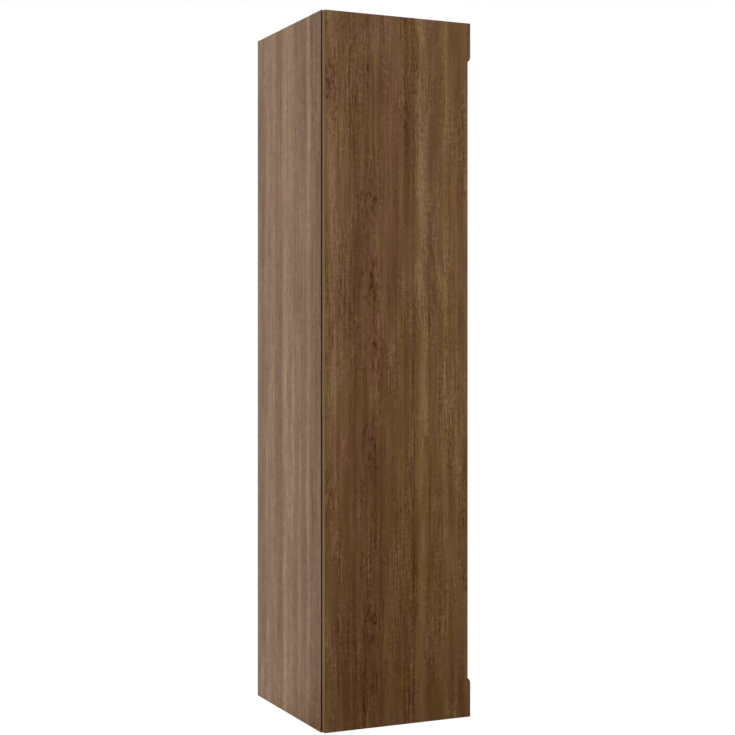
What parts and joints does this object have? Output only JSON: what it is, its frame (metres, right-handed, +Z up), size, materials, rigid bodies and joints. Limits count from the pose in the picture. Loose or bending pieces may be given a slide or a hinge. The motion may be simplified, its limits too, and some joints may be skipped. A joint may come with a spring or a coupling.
{
  "type": "tall bathroom cabinet",
  "caption": "Tall wall-hung bathroom cabinet with a full-height handleless door on concealed cup hinges, a finger pull in the door's edge, shelves on pins and hidden hangers.",
  "frame": {"origin": "under the middle of the whole cabinet, door included, level with the underside of its side panels", "axes": "+X to the right seen from the front, +Y from the door towards the wall, +Z up"},
  "size_m": [0.4, 0.455, 1.75],
  "materials": {
    "walnut_door": "walnut foil, satin",
    "walnut_board": "walnut melamine, satin",
    "walnut_edging": "walnut edging, satin",
    "walnut_back": "printed hardboard, matt",
    "beech": "plain beech",
    "nickel_plated_steel": "nickel plated",
    "zinc_plated_steel": "zinc plated",
    "spring_steel": "blued spring steel",
    "die_cast_zinc": "nickel-plated die casting",
    "grey_plastic": "fine moulded texture",
    "clear_rubber": "translucent"
  },
  "bodies": {
    "carcass": {"left_side_panel": "walnut_board", "left_side_edge_band": "walnut_edging", "left_hanger_housing": "grey_plastic", "left_hanger_hook": "zinc_plated_steel", "left_wall_plate": "zinc_plated_steel", "right_side_panel": "walnut_board", "right_side_edge_band": "walnut_edging", "right_hanger_housing": "grey_plastic", "right_hanger_hook": "zinc_plated_steel", "right_wall_plate": "zinc_plated_steel", "top_panel": "walnut_board", "bottom_panel": "walnut_board", "top_edge_band": "walnut_edging", "bottom_edge_band": "walnut_edging", "back_panel": "walnut_back", "wall_rail": "walnut_board", "lower_shelf": "walnut_board", "lower_shelf_edge_band": "walnut_edging", "lower_middle_shelf": "walnut_board", "lower_middle_shelf_edge_band": "walnut_edging", "fixed_shelf": "walnut_board", "fixed_shelf_edge_band": "walnut_edging", "upper_middle_shelf": "walnut_board", "upper_middle_shelf_edge_band": "walnut_edging", "upper_shelf": "walnut_board", "upper_shelf_edge_band": "walnut_edging", "shelf_pins": "nickel_plated_steel", "dowels": "beech", "cam_locks": "die_cast_zinc", "cam_bolts": "nickel_plated_steel", "hanger_adjusting_screws": "nickel_plated_steel", "hanger_fixing_screws": "nickel_plated_steel", "bottom_hinge_plate": "nickel_plated_steel", "bottom_hinge_arm": "nickel_plated_steel", "lower_hinge_plate": "nickel_plated_steel", "lower_hinge_arm": "nickel_plated_steel", "upper_hinge_plate": "nickel_plated_steel", "upper_hinge_arm": "nickel_plated_steel", "top_hinge_plate": "nickel_plated_steel", "top_hinge_arm": "nickel_plated_steel", "hinge_plate_screws": "nickel_plated_steel", "hinge_arm_screws": "nickel_plated_steel"},
    "door": {"door_panel": "walnut_door", "door_bumpers": "clear_rubber", "bottom_hinge_cup": "die_cast_zinc", "bottom_hinge_pin": "nickel_plated_steel", "lower_hinge_cup": "die_cast_zinc", "lower_hinge_pin": "nickel_plated_steel", "upper_hinge_cup": "die_cast_zinc", "upper_hinge_pin": "nickel_plated_steel", "top_hinge_cup": "die_cast_zinc", "top_hinge_pin": "nickel_plated_steel", "hinge_springs": "spring_steel", "hinge_cup_screws": "nickel_plated_steel"}
  },
  "joints": [
    {"name": "door_swing", "type": "hinge", "parent": "carcass", "child": "door", "pos_m": [-0.191, -0.2195, 0.875], "axis": [0, 0, -1], "range_deg": [0, 95]}
  ]
}
